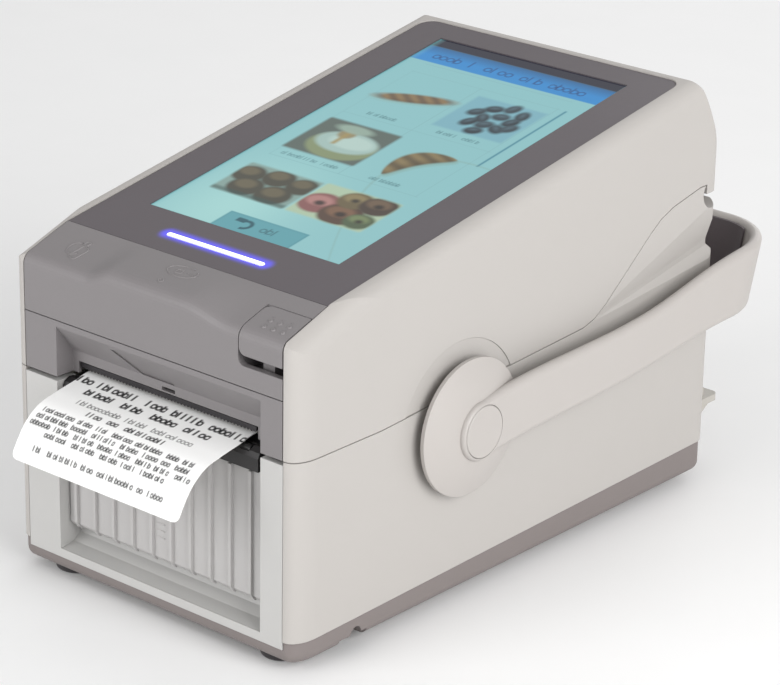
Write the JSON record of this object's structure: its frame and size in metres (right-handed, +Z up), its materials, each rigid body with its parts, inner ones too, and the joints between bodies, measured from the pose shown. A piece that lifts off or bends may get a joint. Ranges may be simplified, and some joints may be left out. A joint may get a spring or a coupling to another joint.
{
  "type": "label printer",
  "caption": "Desktop food label printer with a sloping touch screen on a hinged cover, a label exit with tear bar and a swing-over carrying handle.",
  "frame": {"origin": "middle of the whole object's footprint, on the counter plane under the rubber feet", "axes": "+Z up; -Y is the front with the label exit; +X is the right side seen from the front, the side of the opening button"},
  "size_m": [0.1532, 0.2814, 0.156],
  "materials": {
    "housing_abs": "fine-textured warm white ABS",
    "handle_abs": "fine-textured warm white ABS",
    "frame_abs": "fine-textured white ABS",
    "panel_grey_abs": "satin mid grey ABS",
    "base_grey_abs": "fine-textured warm grey ABS",
    "foot_rubber": "moulded black rubber",
    "grip_elastomer": "soft dark purple-grey elastomer",
    "door_abs": "satin light grey ABS",
    "black_abs": "satin black ABS",
    "shelf_abs": "satin light grey ABS",
    "guide_abs": "satin dark grey ABS",
    "gear_acetal": "natural acetal",
    "platen_rubber": "ground silicone rubber",
    "roller_acetal": "black acetal",
    "turned_steel": "fine turned steel",
    "zinc_screws": "zinc-plated steel",
    "spring_steel": "drawn spring steel",
    "tear_steel": "ground stainless steel",
    "chassis_steel": "galvanised sheet steel",
    "heat_sink_aluminium": "extruded aluminium",
    "head_ceramic": "glazed alumina with a dark heater line",
    "motor_black": "black painted laminations",
    "circuit_board": "green solder mask on glass-epoxy board",
    "socket_shield": "nickel-plated sheet steel",
    "socket_black": "black moulded PBT",
    "sensor_black": "black moulded plastic",
    "rocker_black": "glossy black nylon",
    "bezel_gloss": "back-printed dark grey cover glass border",
    "cover_glass": "cover glass over the lit display picture",
    "display_metal": "sheet metal back of the display",
    "light_diffuser": "milky light guide",
    "label_paper": "matt thermal label paper",
    "roll_paper": "wound thermal label paper",
    "core_board": "spiral-wound board"
  },
  "bodies": {
    "printer_body": {"base_tray": "base_grey_abs", "rubber_feet": "foot_rubber", "base_screws": "zinc_screws", "left_side_shell": "housing_abs", "right_side_shell": "housing_abs", "back_cover": "housing_abs", "cover_hinge_pins": "turned_steel", "front_frame": "frame_abs", "peel_bar": "black_abs", "cable_shelf": "shelf_abs", "socket_plate": "chassis_steel", "power_socket": "socket_black", "network_socket": "socket_shield", "usb_socket": "socket_shield", "switch_body": "black_abs", "main_board": "circuit_board", "mechanism_chassis": "chassis_steel", "platen_bushes": "gear_acetal", "feed_motor": "motor_black", "media_floor": "guide_abs", "media_sensor": "sensor_black", "handle_pivots": "turned_steel", "printed_label": "label_paper"},
    "display_cover": {"display_cover_shell": "housing_abs", "head_cover": "panel_grey_abs", "exit_panel": "panel_grey_abs", "tear_bar": "tear_steel", "label_taken_sensor": "sensor_black", "screen_bezel": "bezel_gloss", "touch_glass": "cover_glass", "display_panel": "display_metal", "display_carrier": "black_abs", "display_board": "circuit_board", "display_screws": "zinc_screws", "status_light_bar": "light_diffuser", "front_board": "circuit_board", "button_spring": "spring_steel", "print_head": "head_ceramic", "head_heat_sink": "heat_sink_aluminium", "head_bracket": "chassis_steel", "head_springs": "spring_steel"},
    "open_button_body": {"open_button": "panel_grey_abs"},
    "latch": {"latch_shaft": "turned_steel"},
    "handle": {"carry_handle": "handle_abs", "handle_grip_pad": "grip_elastomer", "pivot_caps": "handle_abs"},
    "liner_door_body": {"liner_door": "door_abs"},
    "platen": {"platen_roller": "platen_rubber", "platen_shaft": "turned_steel", "platen_gear": "gear_acetal"},
    "idler": {"idler_gear": "gear_acetal"},
    "motor_shaft": {"motor_pinion": "turned_steel"},
    "peel_roller_body": {"peel_roller": "roller_acetal"},
    "media_roll": {"label_roll": "roll_paper", "roll_core": "core_board"},
    "guide_right": {"media_guide_right": "guide_abs"},
    "guide_left": {"media_guide_left": "guide_abs"},
    "guide_gear": {"guide_pinion": "gear_acetal"},
    "power_rocker": {"switch_rocker": "rocker_black"}
  },
  "joints": [
    {"name": "cover_hinge", "type": "hinge", "parent": "printer_body", "child": "display_cover", "pos_m": [0, 0.1058, 0.1128], "axis": [-1, 0, 0], "range_deg": [0, 70]},
    {"name": "open_button_press", "type": "slide", "parent": "display_cover", "child": "open_button_body", "axis": [0, 0, -1], "range_m": [0, 0.0024], "stiffness_N_per_m": 150, "springref_m": -0.002},
    {"name": "latch_turn", "type": "hinge", "parent": "display_cover", "child": "latch", "pos_m": [0, -0.0842, 0.0968], "axis": [1, 0, 0], "range_deg": [0, 6]},
    {"name": "handle_swing", "type": "hinge", "parent": "printer_body", "child": "handle", "pos_m": [0, -0.0344, 0.0658], "axis": [1, 0, 0], "range_deg": [0, 90]},
    {"name": "liner_door_hinge", "type": "hinge", "parent": "printer_body", "child": "liner_door_body", "pos_m": [0, -0.1083, 0.0222], "axis": [1, 0, 0], "range_deg": [0, 55]},
    {"name": "platen_spin", "type": "hinge", "parent": "printer_body", "child": "platen", "pos_m": [0, -0.0987, 0.0689], "axis": [1, 0, 0], "continuous": true},
    {"name": "idler_spin", "type": "hinge", "parent": "printer_body", "child": "idler", "pos_m": [0, -0.08421, 0.05281], "axis": [1, 0, 0], "continuous": true},
    {"name": "pinion_spin", "type": "hinge", "parent": "printer_body", "child": "motor_shaft", "pos_m": [0, -0.0678, 0.04334], "axis": [1, 0, 0], "continuous": true},
    {"name": "peel_roller_spin", "type": "hinge", "parent": "printer_body", "child": "peel_roller_body", "pos_m": [0, -0.1093, 0.0726], "axis": [1, 0, 0], "continuous": true},
    {"name": "roll_spin", "type": "hinge", "parent": "printer_body", "child": "media_roll", "pos_m": [0, 0.0198, 0.0605], "axis": [1, 0, 0], "continuous": true},
    {"name": "guide_right_slide", "type": "slide", "parent": "printer_body", "child": "guide_right", "axis": [1, 0, 0], "range_m": [0, 0.0044]},
    {"name": "guide_left_slide", "type": "slide", "parent": "printer_body", "child": "guide_left", "axis": [-1, 0, 0], "range_m": [0, 0.0044]},
    {"name": "guide_gear_turn", "type": "hinge", "parent": "printer_body", "child": "guide_gear", "pos_m": [0, 0.0198, 0.0127], "axis": [0, 0, 1], "range_deg": [0, 32]},
    {"name": "power_rocker_tilt", "type": "hinge", "parent": "printer_body", "child": "power_rocker", "pos_m": [0, 0.1088, 0.03725], "axis": [1, 0, 0], "range_deg": [0, 12]}
  ],
  "couplings": [
    {"joint": "latch_turn", "follows": "open_button_press", "rad_per_m": 42},
    {"joint": "idler_spin", "follows": "platen_spin", "ratio": -0.71429},
    {"joint": "pinion_spin", "follows": "platen_spin", "ratio": 1.4286},
    {"joint": "guide_left_slide", "follows": "guide_right_slide", "ratio": 1},
    {"joint": "guide_gear_turn", "follows": "guide_right_slide", "rad_per_m": 125}
  ]
}
